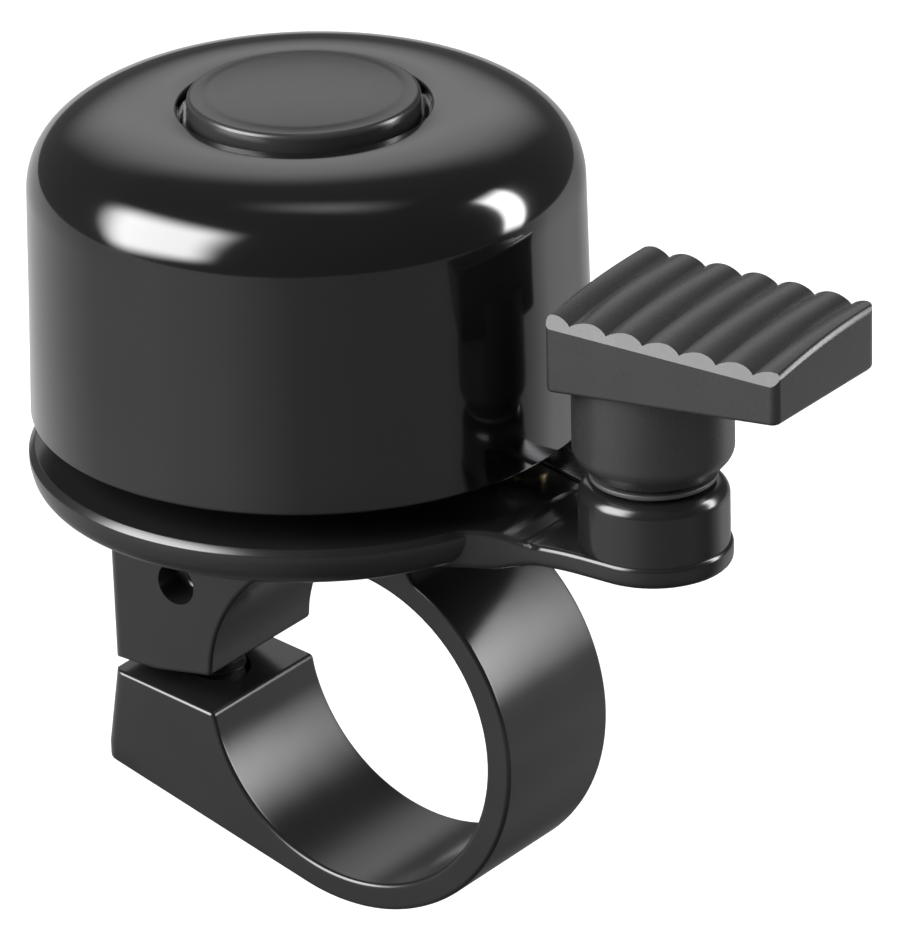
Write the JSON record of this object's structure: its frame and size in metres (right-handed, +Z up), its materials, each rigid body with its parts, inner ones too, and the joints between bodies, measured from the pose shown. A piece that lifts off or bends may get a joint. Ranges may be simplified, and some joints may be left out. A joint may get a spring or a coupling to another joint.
{
  "type": "bicycle bell",
  "caption": "Thumb-lever bicycle bell: a dome struck from inside by a sprung arm, on a cast base with a split clamp for a handlebar.",
  "frame": {"origin": "centre of the handlebar bore, midway between the strap's two side faces", "axes": "+Y along the handlebar, +Z up through the dome's axis, +X from the dome towards the thumb lever"},
  "size_m": [0.0584, 0.037, 0.0544],
  "materials": {
    "satin_black_casting": "satin black powder coat on a die casting",
    "gloss_black_dome": "smooth gloss black enamel on pressed metal",
    "black_plastic_cap": "semi-gloss moulded plastic",
    "black_plastic_lever": "matte moulded plastic",
    "zinc_steel": "bright zinc plate",
    "black_oxide_steel": "black oxide on machined steel",
    "spring_steel": "blued spring steel",
    "striker_steel": "turned steel",
    "brass": "turned brass",
    "bronze_bush": "sintered bronze",
    "nylon_washer": "black nylon",
    "black_rubber": "moulded rubber"
  },
  "bodies": {
    "base": {"base_casting": "satin_black_casting", "dome": "gloss_black_dome", "top_cap": "black_plastic_cap", "cap_screw": "zinc_steel", "crown_washer": "zinc_steel", "dome_seat": "black_rubber", "clamp_washer": "zinc_steel", "clamp_lock_washer": "zinc_steel", "clamp_nut": "zinc_steel", "pivot_bush": "bronze_bush", "thrust_washer": "nylon_washer", "return_spring": "spring_steel"},
    "lever": {"thumb_lever": "black_plastic_lever", "pivot_screw": "zinc_steel", "pivot_washer": "zinc_steel", "striker_hub": "black_oxide_steel"},
    "striker": {"striker_arm": "spring_steel", "striker_head": "striker_steel", "striker_rivet": "brass"},
    "clamp_screw": {"clamp_screw": "black_oxide_steel"}
  },
  "joints": [
    {"name": "lever_turn", "type": "hinge", "parent": "base", "child": "lever", "pos_m": [0.02064, 0, 0.0216], "axis": [0, 0, 1], "range_deg": [0, 30], "stiffness_Nm_per_rad": 0.005, "springref_deg": -28.65, "deforming": ["return_spring"]},
    {"name": "striker_flex", "type": "hinge", "parent": "lever", "child": "striker", "pos_m": [0.02064, 0, 0.0186], "axis": [0, 0, 1], "range_deg": [-1.8, 3], "stiffness_Nm_per_rad": 0.005},
    {"name": "clamp_screw_turn", "type": "hinge", "parent": "base", "child": "clamp_screw", "pos_m": [-0.0148, 0, -0.0065], "axis": [0, 0, 1], "continuous": true}
  ]
}
